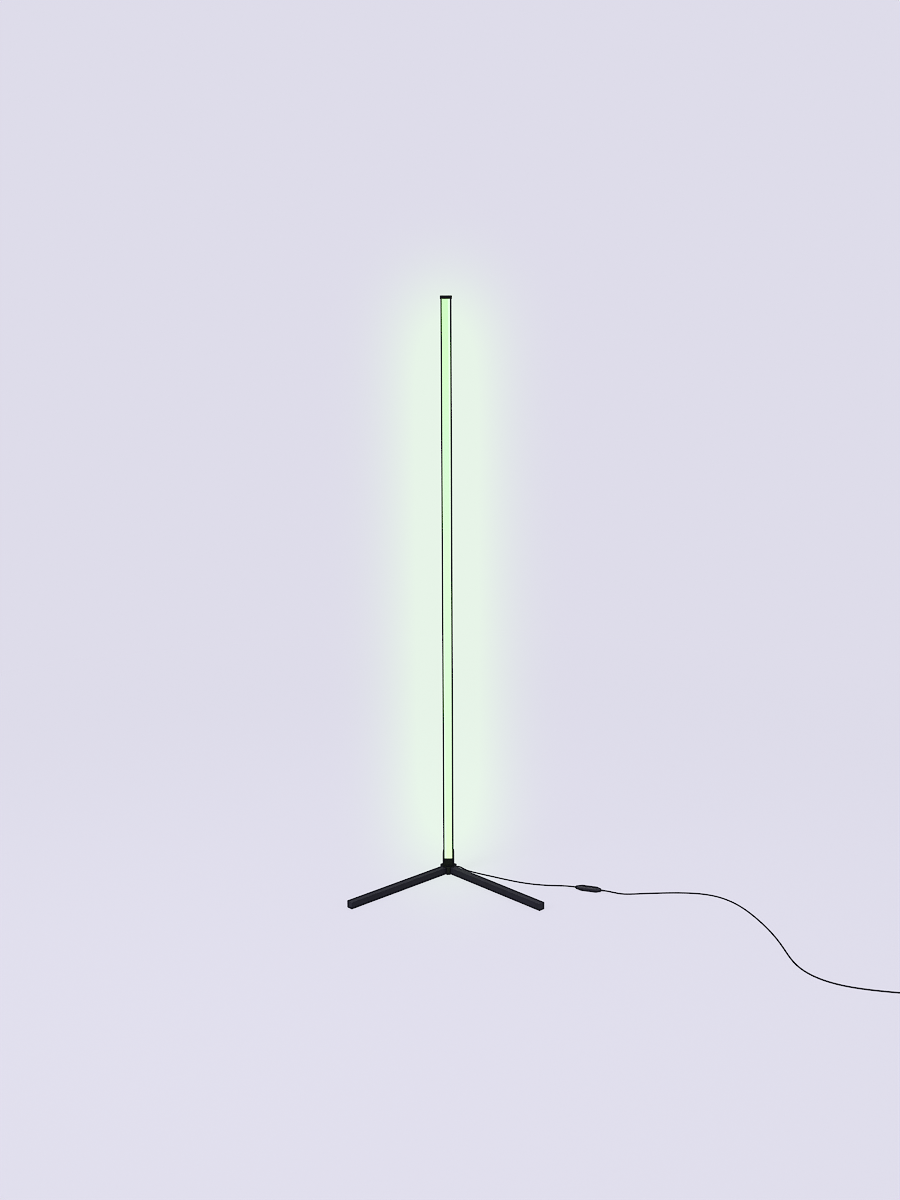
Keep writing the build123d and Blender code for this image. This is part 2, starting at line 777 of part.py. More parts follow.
with BuildPart() as controller_leads:
    for start in (relief_inner_back, relief_inner_front - case_lead_length):
        with BuildSketch(across(controller_plane, start, board_top + lead_radius)):
            with Locations((-bundle_pitch, 0), (0, 0), (bundle_pitch, 0)):
                Circle(lead_radius)
        extrude(amount=case_lead_length)
save(controller_leads.part, "controller_leads")

# ---- Cord: from hub to controller, from controller to coil, and the tail to the plug ----
save(cord_tube("lamp_cord", lamp_route), "lamp_cord")
save(cord_tube("supply_cord", supply_route), "supply_cord")
save(cord_tube("plug_tail", tail_route), "plug_tail")

with BuildPart() as cord_coil:
    with BuildSketch(Plane(origin=(coil_x, coil_y, 0), x_dir=(1, 0, 0), z_dir=(0, -1, 0))):
        with Locations((coil_radius, coil_height / 2)):
            RectangleRounded(coil_width, coil_height, coil_corner)
    revolve(axis=Axis((coil_x, coil_y, 0), (0, 0, 1)))
save(cord_coil.part, "cord_coil")

# ---- USB plug ----
plug_plane = level_plane(plug_heading, 0, plug_x, plug_y)
body_end = plug_relief_length + plug_body_length
with BuildPart() as plug_body:
    with BuildSketch(across(plug_plane, plug_relief_length, plug_middle)):
        RectangleRounded(plug_body_width, plug_body_height, plug_body_corner)
    extrude(amount=plug_body_length)
    fillet(plug_body.faces().sort_by(Axis((0, 0, 0), plug_plane.x_dir))[0].edges(), plug_body_corner / 2)
    with BuildSketch(across(plug_plane, body_end - shell_seat, plug_middle)):
        Rectangle(shell_width, shell_height)
    extrude(amount=shell_seat, mode=Mode.SUBTRACT)
    add(turned(turning(plug_plane, plug_middle), [
        (0, 0), *ribs(0, plug_relief_length, plug_tip_radius, plug_root_radius, plug_rib_count),
        (plug_root_radius, plug_relief_length + plug_body_corner), (0, plug_relief_length + plug_body_corner),
    ]))
    # Grooves across the top and the bottom, to grip it by
    grip_middle = plug_relief_length + plug_body_length / 2
    for height in (grip_depth / 2, plug_body_height - grip_depth / 2):
        with BuildSketch(plug_plane.offset(height - grip_depth / 2)):
            with Locations((grip_middle, 0)):
                with GridLocations(grip_pitch, 1, grip_count, 1):
                    Rectangle(grip_width, grip_length)
        extrude(amount=grip_depth, mode=Mode.SUBTRACT)
save(plug_body.part, "plug_body")

with BuildPart() as plug_shell:
    with BuildSketch(across(plug_plane, body_end - shell_seat, plug_middle)):
        Rectangle(shell_width, shell_height)
        Rectangle(shell_width - 2 * shell_wall, shell_height - 2 * shell_wall, mode=Mode.SUBTRACT)
    extrude(amount=shell_seat + shell_length)
    # Latch windows, two in the top and two in the bottom
    with BuildSketch(plug_plane):
        with Locations((body_end + shell_length - window_setback, 0)):
            with GridLocations(1, window_spacing, 1, 2):
                Rectangle(window_length, window_width)
    extrude(amount=plug_body_height, mode=Mode.SUBTRACT)
save(plug_shell.part, "plug_shell")

inner_top = plug_middle + shell_height / 2 - shell_wall
inner_bottom = plug_middle - shell_height / 2 + shell_wall
with BuildPart() as plug_insulator:
    with BuildSketch(across(plug_plane, body_end - shell_seat, inner_top - insulator_thickness / 2)):
        Rectangle(shell_width - 2 * shell_wall, insulator_thickness)
    extrude(amount=shell_seat + shell_length - insulator_setback)
    with BuildSketch(across(plug_plane, body_end - shell_seat, plug_middle)):
        Rectangle(shell_width - 2 * shell_wall, shell_height - 2 * shell_wall)
    extrude(amount=shell_seat)
save(plug_insulator.part, "plug_insulator")

with BuildPart() as plug_contacts:
    contact_height = inner_top - insulator_thickness - contact_thickness / 2
    with BuildSketch(across(plug_plane, body_end, contact_height)):
        with Locations(*[((place - 1.5) * contact_pitch, 0) for place in range(4)]):
            Rectangle(contact_width, contact_thickness)
    extrude(amount=contact_length)
save(plug_contacts.part, "plug_contacts")
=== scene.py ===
from math import cos, pi, radians, sqrt

import bpy
import numpy as np
from mathutils import Matrix, Vector


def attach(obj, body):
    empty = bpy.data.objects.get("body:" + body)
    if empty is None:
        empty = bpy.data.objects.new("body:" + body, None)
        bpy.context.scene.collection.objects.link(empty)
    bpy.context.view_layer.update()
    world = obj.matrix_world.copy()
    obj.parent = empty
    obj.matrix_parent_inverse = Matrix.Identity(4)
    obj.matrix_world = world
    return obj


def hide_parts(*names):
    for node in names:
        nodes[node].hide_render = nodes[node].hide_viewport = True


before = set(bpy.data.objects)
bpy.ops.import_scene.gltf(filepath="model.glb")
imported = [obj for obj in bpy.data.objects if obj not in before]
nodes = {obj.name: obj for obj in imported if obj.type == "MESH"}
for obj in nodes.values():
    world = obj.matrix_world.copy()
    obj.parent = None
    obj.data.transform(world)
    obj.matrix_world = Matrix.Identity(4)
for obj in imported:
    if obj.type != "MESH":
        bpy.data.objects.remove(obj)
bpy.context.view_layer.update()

# Corner floor lamp: finishes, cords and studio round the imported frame. Metres, +Z up, -Y to the room.
scene = bpy.context.scene
print("frame loaded:", len(nodes), "nodes")


# Camera
shot = {
    "place": (0.1145, -3.4591, 1.4419),
    "heading": 1.788,      # degrees left of straight ahead
    "dip": 12.102,         # degrees below level
    "tilt": -0.24,         # degrees about the line of sight
    "lens": 43.98,         # mm
    "sensor": 36.0,        # mm, along the longer side of the picture
    "farthest": 60,        # metres, past the backdrop
}


def placeCamera(shot):
    camera = bpy.data.objects.new("camera", bpy.data.cameras.new("camera"))
    scene.collection.objects.link(camera)
    camera.data.sensor_width = shot["sensor"]
    camera.data.lens = shot["lens"]
    camera.data.clip_end = shot["farthest"]
    turn = Matrix.Rotation(radians(shot["heading"]), 3, "Z")
    rise = Matrix.Rotation(radians(90 - shot["dip"]), 3, "X")
    tilt = Matrix.Rotation(radians(shot["tilt"]), 3, "Z")
    camera.location = shot["place"]
    camera.rotation_euler = (turn @ rise @ tilt).to_euler()
    scene.camera = camera


placeCamera(shot)
print("camera placed")


# Cords: control points listed one by one, except round the put-away coil
cordLook = {"diameter": 0.0034, "sides": 6, "steps": 8}
lampRoute = [
    (0.015203, 0.015203, 0.0072), (0.0195, 0.0195, 0.0072), (0.0256, 0.0213, 0.0064),
    (0.0319, 0.0197, 0.0048), (0.0375, 0.0149, 0.0031), (0.0463, 0.0068, 0.0021),
    (0.0609, -0.0022, 0.00175), (0.0797, -0.0135, 0.00175), (0.1045, -0.0266, 0.00175),
    (0.1370, -0.0446, 0.00175), (0.1720, -0.0627, 0.00175), (0.2070, -0.0754, 0.00175),
    (0.2400, -0.0818, 0.00175), (0.2655, -0.0844, 0.0022), (0.2860, -0.0902, 0.0043),
    (0.301106, -0.096244, 0.0058), (0.311602, -0.099533, 0.0058),
]
supplyRoute = [
    (0.379830, -0.120915, 0.0058), (0.388895, -0.123756, 0.0058), (0.4009, -0.1270, 0.0045),
    (0.4150, -0.1302, 0.0028), (0.4315, -0.1319, 0.0018), (0.4520, -0.1304, 0.00175),
    (0.4790, -0.1267, 0.00175), (0.5130, -0.1236, 0.00175), (0.5520, -0.1208, 0.00175),
    (0.5930, -0.1220, 0.00175), (0.6270, -0.1290, 0.00175), (0.6554, -0.1438, 0.00175),
    (0.6810, -0.1698, 0.00175), (0.7024, -0.2060, 0.00175), (0.7208, -0.2534, 0.00175),
    (0.7368, -0.3070, 0.00175), (0.7488, -0.3606, 0.00175), (0.7560, -0.4122, 0.00175),
    (0.7604, -0.4586, 0.00175), (0.7674, -0.5008, 0.00175), (0.7828, -0.5388, 0.00175),
    (0.8082, -0.5708, 0.00175), (0.8430, -0.5950, 0.00175), (0.8840, -0.6105, 0.00175),
    (0.9280, -0.6206, 0.00175), (0.9620, -0.6264, 0.00175), (0.9922, -0.6306, 0.00175),
]
tailRoute = [
    (1.0118, -0.6528, 0.0051), (1.0118, -0.6625, 0.0049), (1.0120, -0.6728, 0.0043),
    (1.0119, -0.6829, 0.0038), (1.0119, -0.6930, 0.0038),
]
strapThickness = 0.00045     # of the tie round the coil
coil = {
    "middle": (0.9894, -0.6528),
    "outerRadius": 0.0224,   # of the first and last turn
    "rows": 3,               # side by side, in two layers
    "pitch": cordLook["diameter"],   # from turn to turn, sideways and upwards
    "lowHeight": cordLook["diameter"] / 2 + strapThickness,   # the lower layer rests on the tie
    "startAngle": 82.8,      # degrees, where the cord comes in
    "turns": 5.23,
    "pointsPerTurn": 16,
    "stepTurns": 0.3,        # how much of a turn a step to the next row takes
    "inwardAt": (1.0, 2.0),
    "upwardAt": 2.85,
    "outwardAt": (3.75, 4.75),
}


def stepped(turn, middle, coil):
    # Goes from 0 to 1 round the middle, slowly at both ends
    share = np.clip((turn - middle) / coil["stepTurns"] + 0.5, 0, 1)
    return share * share * (3 - 2 * share)


def coilTurns(coil):
    # Clockwise turns: two steps inward on the floor, one up, and two outward on top
    turn = np.arange(1 / coil["pointsPerTurn"], coil["turns"], 1 / coil["pointsPerTurn"])
    angle = radians(coil["startAngle"]) - 2 * pi * turn
    inward = sum(stepped(turn, middle, coil) for middle in coil["inwardAt"])
    outward = sum(stepped(turn, middle, coil) for middle in coil["outwardAt"])
    radius = coil["outerRadius"] + coil["pitch"] * (outward - inward)
    radius = radius / cos(pi / coil["pointsPerTurn"])   # the curve runs inside its control points
    height = coil["lowHeight"] + coil["pitch"] * stepped(turn, coil["upwardAt"], coil)
    x = coil["middle"][0] + radius * np.cos(angle)
    y = coil["middle"][1] + radius * np.sin(angle)
    return np.stack([x, y, height], axis=1)


def layCord(name, points, look):
    # A smooth line of order 3 through the run of its control points, with a round section
    curve = bpy.data.curves.new(name, "CURVE")
    curve.dimensions = "3D"
    curve.bevel_depth = look["diameter"] / 2
    curve.bevel_resolution = look["sides"]
    curve.resolution_u = look["steps"]
    curve.use_fill_caps = True
    spline = curve.splines.new("NURBS")
    spline.points.add(len(points) - 1)
    weighted = np.column_stack([points, np.ones(len(points))])
    spline.points.foreach_set("co", weighted.astype(np.float32).ravel())
    spline.order_u = 3
    spline.use_endpoint_u = True
    spline.use_smooth = True
    cord = bpy.data.objects.new(name, curve)
    scene.collection.objects.link(cord)
    return cord


lampCord = layCord("lampCord", np.array(lampRoute), cordLook)
supplyPoints = np.concatenate([supplyRoute, coilTurns(coil), tailRoute])
supplyCord = layCord("supplyCord", supplyPoints, cordLook)
print("cords laid:", len(lampRoute), "and", len(supplyPoints), "points")


# Surfaces
def addSurface(name, grid, closedAcross=False):
    # A grid of points (along, across, xyz) becomes a mesh of four-sided faces
    along, across = grid.shape[:2]
    row = np.arange(along - 1)[:, None] * across
    here = np.arange(across if closedAcross else across - 1)[None, :]
    beside = (here + 1) % across
    quads = np.stack([row + here, row + across + here, row + across + beside, row + beside], axis=-1)
    mesh = bpy.data.meshes.new(name)
    mesh.from_pydata(grid.reshape(-1, 3).tolist(), [], quads.reshape(-1, 4).tolist())
    mesh.shade_smooth()
    surface = bpy.data.objects.new(name, mesh)
    scene.collection.objects.link(surface)
    return surface


# Tie round the coil
tie = {
    "angle": -75.0,          # degrees, where it sits on the coil
    "width": 0.010,
    "thickness": strapThickness,
    "corner": cordLook["diameter"] / 2,
    "squareness": 12,        # how quickly the rounding goes from corner to corner
    "start": 0.3,            # radians, from straight outward
    "overlap": 1.9,          # radians of the second layer, past a full round
    "climb": 0.5,            # radians in which the strap rises onto its first layer
    "lift": 1.05,            # thicknesses from layer to layer
    "pointsAround": 96,
    "pointsAcross": 9,
}


def wrapTie(tie, coil):
    # A rounded rectangle round the bundle, as a circle whose middle moves from corner to corner, carried a
    # short way along the coil. Past a full round the strap lies one layer further out.
    turn = tie["start"] + np.linspace(0, 2 * pi + tie["overlap"], tie["pointsAround"])
    climbed = np.clip((turn - turn[0] - 2 * pi + tie["climb"]) / tie["climb"], 0, 1)
    radius = tie["corner"] + tie["thickness"] * (0.5 + tie["lift"] * climbed)
    sideCorner = coil["pitch"] * coil["rows"] / 2 - tie["corner"]
    upCorner = coil["pitch"] - tie["corner"]
    side = sideCorner * np.tanh(tie["squareness"] * np.cos(turn)) + radius * np.cos(turn)
    up = upCorner * np.tanh(tie["squareness"] * np.sin(turn)) + radius * np.sin(turn)
    middleRadius = coil["outerRadius"] - coil["pitch"] * (coil["rows"] - 1) / 2
    middleHeight = coil["lowHeight"] + coil["pitch"] / 2
    halfAngle = tie["width"] / 2 / middleRadius
    angle = radians(tie["angle"]) + np.linspace(-halfAngle, halfAngle, tie["pointsAcross"])
    reach = middleRadius + side[:, None]
    x = coil["middle"][0] + reach * np.cos(angle)
    y = coil["middle"][1] + reach * np.sin(angle)
    z = np.broadcast_to((middleHeight + up)[:, None], x.shape)
    strap = addSurface("coilTie", np.stack([x, y, z], axis=-1))
    wall = strap.modifiers.new("thickness", "SOLIDIFY")
    wall.thickness = tie["thickness"]
    wall.offset = 0
    return strap


coilTie = wrapTie(tie, coil)
print("coil tied")


# Finishes
def linear(colour):
    # Screen colour, 0 to 255, to the linear values that shaders take
    share = np.array(colour) / 255
    values = np.where(share <= 0.04045, share / 12.92, ((share + 0.055) / 1.055) ** 2.4)
    return (*values.tolist(), 1.0)


def newFinish(name):
    material = bpy.data.materials.new(name)
    material.use_nodes = True
    return material, material.node_tree, material.node_tree.nodes["Principled BSDF"]


def addNode(tree, kind, settings=(), inputs=()):
    # An input is given as a fixed value, or as the output that feeds it
    node = tree.nodes.new(kind)
    for key, value in dict(settings).items():
        setattr(node, key, value)
    for key, value in dict(inputs).items():
        if isinstance(value, bpy.types.NodeSocket):
            tree.links.new(value, node.inputs[key])
        else:
            node.inputs[key].default_value = value
    return node


def figure(tree, operation, *values):
    # One step of arithmetic
    return addNode(tree, "ShaderNodeMath", {"operation": operation}, enumerate(values)).outputs["Value"]


def blend(tree, share, first, second):
    # From the first colour to the second as the share goes from 0 to 1
    inputs = {"Factor": share, "A": first, "B": second}
    return addNode(tree, "ShaderNodeMix", {"data_type": "RGBA"}, inputs).outputs["Result"]


def objectPlace(tree):
    # Where a point is on the lamp, as x, y and z in metres
    place = addNode(tree, "ShaderNodeTexCoord").outputs["Object"]
    return addNode(tree, "ShaderNodeSeparateXYZ", {}, {"Vector": place}).outputs


noiseLook = {
    "roughness": 0.6,
    "low": 0.3, "high": 0.7,   # nearly all of a noise lies between these
    "flecks": 0.03,            # what the fine grain adds to or takes from a roughness
}


def grainOf(tree, size, stretch=(1, 1, 1), detail=4):
    # Noise on the object's own coordinates, with grains of a size in metres, longer along some axes
    place = addNode(tree, "ShaderNodeTexCoord").outputs["Object"]
    scale = [1 / (size * factor) for factor in stretch]
    scaled = addNode(tree, "ShaderNodeMapping", {}, {"Vector": place, "Scale": scale}).outputs["Vector"]
    return addNode(tree, "ShaderNodeTexNoise", {}, {"Vector": scaled, "Scale": 1.0, "Detail": detail,
                                                    "Roughness": noiseLook["roughness"]}).outputs["Fac"]


def ranged(tree, source, low, high):
    # Spreads the middle of a noise over a range
    return addNode(tree, "ShaderNodeMapRange", {}, {"Value": source, "To Min": low, "To Max": high,
                                                    "From Min": noiseLook["low"],
                                                    "From Max": noiseLook["high"]}).outputs["Result"]


def grainFinish(name, look):
    # Two tones in soft patches, a fine grain in the bump, and roughness that varies with both
    material, tree, shader = newFinish(name)
    stretch = look.get("stretch", (1, 1, 1))
    fine = grainOf(tree, look["grain"], stretch)
    broad = grainOf(tree, look["patch"], stretch, 2)
    tones = blend(tree, ranged(tree, broad, 0, 1), linear(look["dark"]), linear(look["light"]))
    rough = figure(tree, "ADD", ranged(tree, broad, look["smoothest"], look["roughest"]),
                   ranged(tree, fine, -noiseLook["flecks"], noiseLook["flecks"]))
    bump = addNode(tree, "ShaderNodeBump", {}, {"Strength": look["bump"], "Distance": look["grain"] / 2,
                                                "Height": fine})
    tree.links.new(tones, shader.inputs["Base Color"])
    tree.links.new(rough, shader.inputs["Roughness"])
    tree.links.new(bump.outputs["Normal"], shader.inputs["Normal"])
    shader.inputs["Metallic"].default_value = look.get("metal", 0.0)
    shader.inputs["Specular IOR Level"].default_value = look.get("specular", 0.5)
    shader.inputs["Coat Weight"].default_value = look.get("coat", 0.0)
    return material, tree, shader


def dress(finish, *names):
    # Every node has one finish
    for name in names:
        slots = nodes[name].material_slots
        if slots:
            slots[0].material = finish
        else:
            nodes[name].data.materials.append(finish)


def pointsOf(name):
    # The points of a node, as x, y and z in metres
    mesh = nodes[name].data
    points = np.empty(len(mesh.vertices) * 3, dtype=np.float32)
    mesh.vertices.foreach_get("co", points)
    return points.reshape(-1, 3).T.astype(float)


channelHeights = pointsOf("channel_1")[2]
poleLook = {
    "dark": (10, 14, 14), "light": (22, 26, 27), "grain": 0.00035, "patch": 0.02, "stretch": (1, 1, 60),
    "smoothest": 0.36, "roughest": 0.46, "bump": 0.12, "specular": 0.45,
    "foot": channelHeights.min(),
    "section": np.ptp(channelHeights),   # length of each section
    "seam": 0.00025,         # half the width of the line between two of them
    "seamTone": (3, 4, 4),
}


def poleFinish(name, look):
    # Drawn and anodised aluminium, with a dark hairline where two sections meet
    material, tree, shader = grainFinish(name, look)
    above = figure(tree, "SUBTRACT", objectPlace(tree)["Z"], look["foot"])
    fromEnd = figure(tree, "PINGPONG", above, look["section"] / 2)
    seam = figure(tree, "LESS_THAN", fromEnd, look["seam"])
    coat = shader.inputs["Base Color"].links[0].from_socket
    tree.links.new(blend(tree, seam, coat, linear(look["seamTone"])), shader.inputs["Base Color"])
    return material


dress(poleFinish("poleBlack", poleLook), "channel_1", "channel_2", "channel_3", "channel_4")

diffuserHeights = pointsOf("diffuser")[2]
glowLook = {
    "foot": diffuserHeights.min(), "top": diffuserHeights.max(),
    "tones": [               # from the foot to the top, as shares of the height
        (0.0, (233, 253, 211)), (0.12, (224, 254, 214)), (0.4, (219, 253, 214)), (0.55, (222, 252, 213)),
        (0.75, (212, 252, 209)), (0.9, (211, 252, 197)), (1.0, (204, 251, 191)),
    ],
    "edge": (229, 252, 229),
    "edgeStart": 0.0058, "edgeEnd": 0.0094,
    "slant": 0.0041, "squareAt": 0.8,   # the green core leans, and is in the middle at this height
    "strength": 0.95,
    "body": (0.02, 0.02, 0.02, 1.0),
    "cloud": 0.004, "smoothest": 0.48, "roughest": 0.56,
}


def glowFinish(name, look):
    # Milky silicone lit from behind: greener towards the top, paler towards its long edges
    material, tree, shader = newFinish(name)
    place = objectPlace(tree)
    rise = addNode(tree, "ShaderNodeMapRange", {}, {"Value": place["Z"], "From Min": look["foot"],
                                                    "From Max": look["top"]}).outputs["Result"]
    ramp = addNode(tree, "ShaderNodeValToRGB", {}, {"Fac": rise})
    stops = ramp.color_ramp.elements
    stops[0].color = linear(look["tones"][0][1])
    stops[-1].color = linear(look["tones"][-1][1])
    for share, tone in look["tones"][1:-1]:
        stops.new(share).color = linear(tone)
    lean = figure(tree, "MULTIPLY_ADD", place["Z"], look["slant"], -look["slant"] * look["squareAt"])
    aside = figure(tree, "ABSOLUTE", figure(tree, "ADD", place["X"], lean))
    near = addNode(tree, "ShaderNodeMapRange", {"interpolation_type": "SMOOTHSTEP"},
                   {"Value": aside, "From Min": look["edgeStart"], "From Max": look["edgeEnd"]})
    glow = blend(tree, near.outputs["Result"], ramp.outputs["Color"], linear(look["edge"]))
    rough = ranged(tree, grainOf(tree, look["cloud"], detail=3), look["smoothest"], look["roughest"])
    tree.links.new(glow, shader.inputs["Emission Color"])
    tree.links.new(rough, shader.inputs["Roughness"])
    shader.inputs["Base Color"].default_value = look["body"]
    shader.inputs["Emission Strength"].default_value = look["strength"]
    return material


dress(glowFinish("diffuserGlow", glowLook), "diffuser")

legX, legY = pointsOf("leg_right")[:2]
legLook = {
    "dark": (23, 21, 34), "light": (30, 28, 44), "grain": 0.0005, "patch": 0.02,
    "smoothest": 0.48, "roughest": 0.58, "bump": 0.15, "specular": 0.35,
    "reach": (abs(legX) - legY).max() / sqrt(2),   # from the pole's axis to the end faces
    "endDepth": 0.0002,      # how far in from the face the painted light on the ends goes
    # painted light: the paler tone of the end faces, where the light falls on them
    "end": (36, 34, 48),
}


def legCoatWithLitEnds(name, look):
    # Powder coat, with painted light on the two cut ends: they are coloured paler where the light falls on
    # them. How far out along its leg a point is: (|x| - y) / root 2
    material, tree, shader = grainFinish(name, look)
    place = objectPlace(tree)
    out = figure(tree, "SUBTRACT", figure(tree, "ABSOLUTE", place["X"]), place["Y"])
    # painted light: points this close to an end face take the paler tone
    past = figure(tree, "GREATER_THAN", out, (look["reach"] - look["endDepth"]) * sqrt(2))
    coat = shader.inputs["Base Color"].links[0].from_socket
    tree.links.new(blend(tree, past, coat, linear(look["end"])), shader.inputs["Base Color"])
    return material


# the legs' coat, with painted light on their end faces
dress(legCoatWithLitEnds("legCoatAndLitEnds", legLook), "leg_left", "leg_right")

# Every other finish: powder coat on the casting, moulded plastics, rubbers and metals
castLook = {"dark": (4, 8, 4), "light": (8, 13, 8), "grain": 0.0007, "patch": 0.012,
            "smoothest": 0.42, "roughest": 0.52, "bump": 0.18, "specular": 0.26}
capLook = {"dark": (7, 10, 4), "light": (12, 15, 8), "grain": 0.0003, "patch": 0.006,
           "smoothest": 0.4, "roughest": 0.5, "bump": 0.1, "specular": 0.3}
caseLook = {"dark": (33, 32, 43), "light": (41, 39, 53), "grain": 0.00035, "patch": 0.006,
            "smoothest": 0.4, "roughest": 0.52, "bump": 0.12, "specular": 0.45}
jacketLook = {"dark": (16, 15, 24), "light": (26, 24, 37), "grain": 0.0004, "patch": 0.015,
              "smoothest": 0.38, "roughest": 0.48, "bump": 0.06, "specular": 0.45}
sleeveLook = {"dark": (12, 12, 15), "light": (20, 20, 24), "grain": 0.0003, "patch": 0.004,
              "smoothest": 0.45, "roughest": 0.55, "bump": 0.1}
buttonLook = {"dark": (24, 24, 30), "light": (33, 33, 40), "grain": 0.00025, "patch": 0.003,
              "smoothest": 0.55, "roughest": 0.68, "bump": 0.08, "specular": 0.35}
padLook = {"dark": (20, 20, 21), "light": (33, 33, 34), "grain": 0.0006, "patch": 0.005,
           "smoothest": 0.8, "roughest": 0.92, "bump": 0.3, "specular": 0.3}
blackScrewLook = {"dark": (16, 16, 18), "light": (34, 34, 38), "grain": 0.0003, "patch": 0.002,
                  "smoothest": 0.3, "roughest": 0.42, "bump": 0.08, "metal": 0.7}
zincLook = {"dark": (120, 124, 130), "light": (158, 162, 168), "grain": 0.0003, "patch": 0.002,
            "smoothest": 0.28, "roughest": 0.4, "bump": 0.08, "metal": 1.0}
plateLook = {"dark": (30, 31, 33), "light": (52, 53, 56), "grain": 0.0005, "patch": 0.008,
             "smoothest": 0.38, "roughest": 0.5, "bump": 0.1, "metal": 0.8}
aluminiumLook = {"dark": (166, 168, 172), "light": (190, 192, 196), "grain": 0.0003, "patch": 0.01,
                 "stretch": (1, 1, 30), "smoothest": 0.3, "roughest": 0.42, "bump": 0.08, "metal": 1.0}
boardWhiteLook = {"dark": (222, 224, 224), "light": (238, 239, 238), "grain": 0.0004, "patch": 0.006,
                  "smoothest": 0.35, "roughest": 0.45, "bump": 0.04}
packageLook = {"dark": (226, 196, 84), "light": (240, 214, 110), "grain": 0.0003, "patch": 0.002,
               "smoothest": 0.25, "roughest": 0.4, "bump": 0.05}
boardGreenLook = {"dark": (14, 66, 36), "light": (22, 86, 48), "grain": 0.0004, "patch": 0.004,
                  "smoothest": 0.28, "roughest": 0.4, "bump": 0.05, "coat": 0.3}
leadLook = {"dark": (150, 30, 26), "light": (176, 42, 36), "grain": 0.0003, "patch": 0.004,
            "smoothest": 0.4, "roughest": 0.5, "bump": 0.04}
chipLook = {"dark": (18, 18, 20), "light": (28, 28, 30), "grain": 0.0002, "patch": 0.002,
            "smoothest": 0.45, "roughest": 0.6, "bump": 0.08}
steelLook = {"dark": (150, 152, 156), "light": (186, 188, 192), "grain": 0.0002, "patch": 0.003,
             "stretch": (1, 12, 1), "smoothest": 0.22, "roughest": 0.36, "bump": 0.06, "metal": 1.0}
insulatorLook = {"dark": (222, 222, 218), "light": (236, 236, 232), "grain": 0.0002, "patch": 0.002,
                 "smoothest": 0.35, "roughest": 0.45, "bump": 0.04}
goldLook = {"dark": (196, 152, 70), "light": (220, 178, 92), "grain": 0.0002, "patch": 0.001,
            "smoothest": 0.2, "roughest": 0.32, "bump": 0.04, "metal": 1.0}
tieLook = {"dark": (15, 15, 17), "light": (27, 27, 30), "grain": 0.0004, "patch": 0.002,
           "smoothest": 0.8, "roughest": 0.95, "bump": 0.5, "specular": 0.25}

finishes = [
    ("hubCoat", castLook, ["base_hub"]),
    ("capPlastic", capLook, ["top_cap"]),
    ("casePlastic", caseLook, ["controller_base", "controller_cover", "plug_body"]),
    ("sleeveRubber", sleeveLook,
     ["strain_relief", "controller_relief_in", "controller_relief_out", "joint_sleeve"]),
    ("buttonRubber", buttonLook, ["button_power", "button_colour", "button_brightness"]),
    ("padRubber", padLook, ["hub_pad", "leg_pads"]),
    ("screwBlack", blackScrewLook, ["splice_screws", "cap_screws", "foot_screws"]),
    ("screwZinc", zincLook, ["leg_screws"]),
    ("plateSteel", plateLook, ["base_plate"]),
    ("bareAluminium", aluminiumLook, ["splice_bar_1", "splice_bar_2", "splice_bar_3", "foot_bar"]),
    ("boardWhite", boardWhiteLook, ["led_strip"]),
    ("ledPackage", packageLook, ["led_packages"]),
    ("leadRed", leadLook, ["strip_leads", "controller_leads"]),
    ("boardGreen", boardGreenLook, ["controller_board"]),
    ("chipBlack", chipLook, ["controller_chip", "push_switches"]),
    ("shellSteel", steelLook, ["plug_shell"]),
    ("insulatorWhite", insulatorLook, ["plug_insulator"]),
    ("contactGold", goldLook, ["plug_contacts"]),
]
for name, look, members in finishes:
    dress(grainFinish(name, look)[0], *members)
cordJacket = grainFinish("cordJacket", jacketLook)[0]
lampCord.data.materials.append(cordJacket)
supplyCord.data.materials.append(cordJacket)
coilTie.data.materials.append(grainFinish("tieFabric", tieLook)[0])
print("finishes given")


# Studio: a seamless pale floor that turns up into a wall all round, and soft light
backdrop = {
    "colour": (222, 220, 234),
    "floorRadius": 5.5,
    "bendRadius": 2.5,
    "wallHeight": 14.0,
    "matteShare": 0.12,      # how much of the floor near the lamp takes real light and shade
    "matteFrom": 0.6,        # that fades from here, in metres from the lamp's foot
    "matteTo": 2.6,          # to here
    "matteGain": 1.3,
    "pointsAround": 96,
    "floorRings": 24,
    "bendRings": 16,
}


def raiseBackdrop(look):
    # A profile turned about the pole: level out to the floor radius, a quarter circle, and straight up
    level = np.linspace([0, 0], [look["floorRadius"], 0], look["floorRings"])
    sweep = np.linspace(0, pi / 2, look["bendRings"])[1:]
    bend = np.stack([look["floorRadius"] + look["bendRadius"] * np.sin(sweep),
                     look["bendRadius"] * (1 - np.cos(sweep))], 1)
    wall = np.array([[look["floorRadius"] + look["bendRadius"], look["wallHeight"]]])
    profile = np.concatenate([level, bend, wall])
    angle = np.linspace(0, 2 * pi, look["pointsAround"], endpoint=False)
    x = profile[:, 0, None] * np.cos(angle)
    y = profile[:, 0, None] * np.sin(angle)
    z = np.broadcast_to(profile[:, 1, None], x.shape)
    sheet = addSurface("studioFloor", np.stack([x, y, z], axis=-1), closedAcross=True)
    sheet.modifiers.new("closedMiddle", "WELD")
    sheet.visible_diffuse = False
    sheet.visible_glossy = False
    sheet.visible_shadow = False
    return sheet


